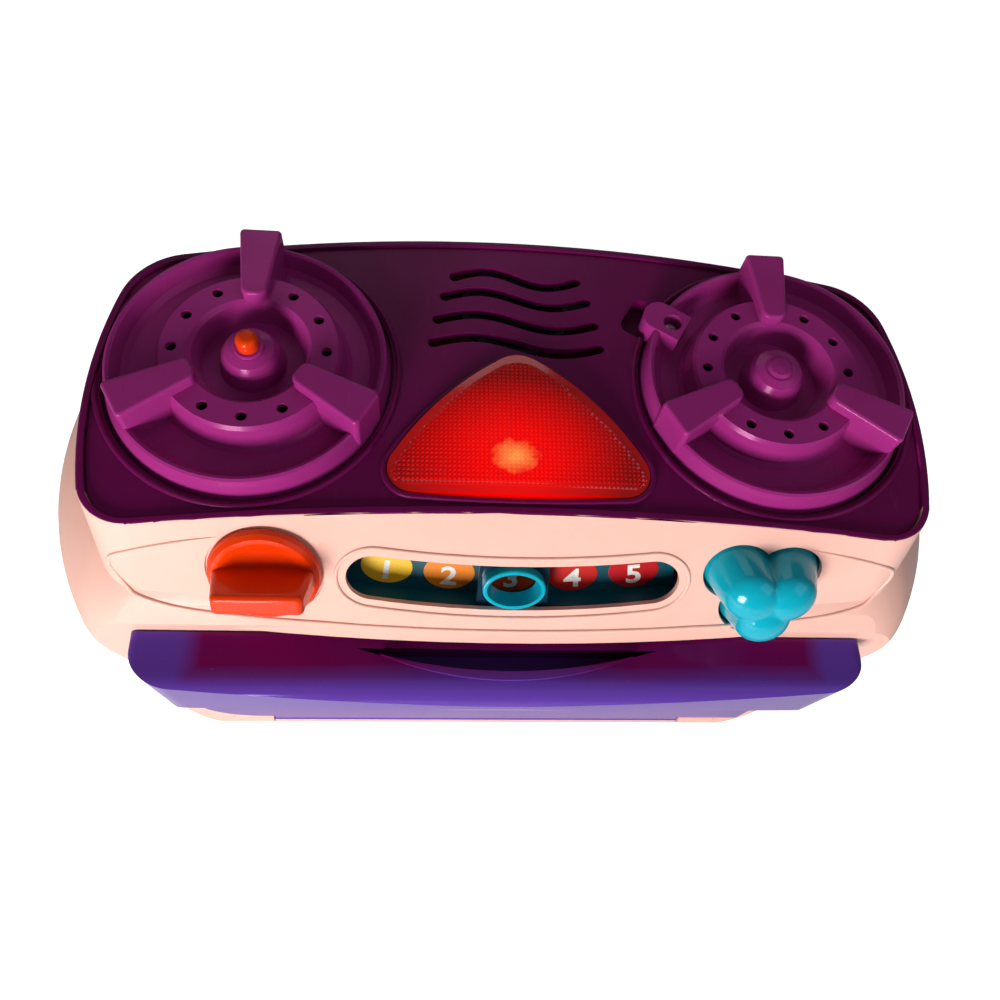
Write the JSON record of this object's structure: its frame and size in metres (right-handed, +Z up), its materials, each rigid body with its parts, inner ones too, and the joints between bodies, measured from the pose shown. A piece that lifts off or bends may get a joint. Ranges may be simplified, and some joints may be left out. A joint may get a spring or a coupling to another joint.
{
  "type": "toy oven",
  "caption": "Toy oven with two hob burners, a see-through prismatic lens, a sloped panel with turning knob, sliding ring and press button, and a drop-down bulging door.",
  "frame": {"origin": "middle of the footprint, on the floor under the feet", "axes": "+X to the right seen from the front, +Y to the back, +Z up"},
  "size_m": [0.3482, 0.1715, 0.2576],
  "materials": {
    "casing_pink": "smooth satin injection-moulded plastic",
    "rubber_grey": "matt rubber",
    "plate_purple": "glossy moulded plastic",
    "orange": "glossy moulded plastic",
    "turquoise": "glossy moulded plastic",
    "label_print": "printed label film",
    "lens_red": "see-through prismatic plastic",
    "door_violet": "see-through glossy plastic",
    "door_magenta": "glossy moulded plastic",
    "steel": "zinc-plated steel",
    "white_plastic": "matt white plastic",
    "board_green": "circuit board laminate",
    "black_plastic": "matt black plastic",
    "led_clear": "clear epoxy",
    "liner_violet": "satin moulded plastic",
    "rack_silver": "silver-coloured plastic",
    "cell_wrap": "plain wrapped cell"
  },
  "bodies": {
    "body": {"aa_cells": "cell_wrap", "base_plate": "casing_pink", "base_screws": "steel", "battery_box": "white_plastic", "battery_contacts": "steel", "battery_door": "casing_pink", "battery_screw": "steel", "board_parts": "black_plastic", "board_screws": "steel", "burner_button_spring": "steel", "burner_screw": "steel", "burner_switches": "black_plastic", "circuit_board": "board_green", "detent_spring": "steel", "front_shell": "casing_pink", "hinge_pins": "steel", "hob_plate": "plate_purple", "hob_screws": "steel", "housing_screws": "steel", "lamp_leds": "led_clear", "lamp_reflector": "white_plastic", "left_burner": "plate_purple", "left_burner_screws": "steel", "lens": "lens_red", "liner_screws": "steel", "number_label": "label_print", "number_strip": "turquoise", "oven_liner": "liner_violet", "oven_rack": "rack_silver", "panel_board": "board_green", "panel_screws": "steel", "panel_switches": "black_plastic", "rear_shell": "casing_pink", "right_burner_spring": "steel", "rubber_feet": "rubber_grey", "speaker_basket": "black_plastic", "speaker_cone": "black_plastic", "speaker_magnet": "steel", "speaker_screws": "steel", "strip_screws": "steel", "switch_body": "black_plastic", "trefoil_spring_pad": "rubber_grey"},
    "door": {"door_shell": "door_violet", "door_liner": "door_magenta", "door_catch": "white_plastic"},
    "knob": {"orange_knob": "orange", "knob_clip": "steel"},
    "slider": {"slider_ring": "turquoise", "slider_carriage": "turquoise"},
    "trefoil": {"trefoil_button": "turquoise"},
    "button": {"burner_button": "orange"},
    "press_burner": {"right_burner": "plate_purple", "burner_stop_screws": "steel"},
    "power_slide": {"power_switch": "black_plastic"}
  },
  "joints": [
    {"name": "door_hinge", "type": "hinge", "parent": "body", "child": "door", "pos_m": [0, -0.0605, 0.038], "axis": [1, 0, 0], "range_deg": [0, 85]},
    {"name": "knob_turn", "type": "hinge", "parent": "body", "child": "knob", "pos_m": [-0.0859, -0.04707, 0.21892], "axis": [0, -0.8711, 0.4911], "range_deg": [-135, 135]},
    {"name": "ring_slide", "type": "hinge", "parent": "body", "child": "slider", "pos_m": [0, 0.14544, 0.49114], "axis": [0, -0.8167, 0.577], "range_deg": [-7.64, 7.64]},
    {"name": "trefoil_press", "type": "slide", "parent": "body", "child": "trefoil", "axis": [0, 0.8738, -0.4862], "range_m": [0, 0.0035], "stiffness_N_per_m": 300, "springref_m": -0.003},
    {"name": "button_press", "type": "slide", "parent": "body", "child": "button", "axis": [0, 0, -1], "range_m": [0, 0.0025], "stiffness_N_per_m": 300, "springref_m": -0.002, "deforming": ["burner_button_spring"]},
    {"name": "burner_press", "type": "slide", "parent": "body", "child": "press_burner", "axis": [0, 0, -1], "range_m": [0, 0.003], "stiffness_N_per_m": 500, "springref_m": -0.004, "deforming": ["right_burner_spring"]},
    {"name": "power_slide", "type": "slide", "parent": "body", "child": "power_slide", "axis": [1, 0, 0], "range_m": [0, 0.005]}
  ]
}
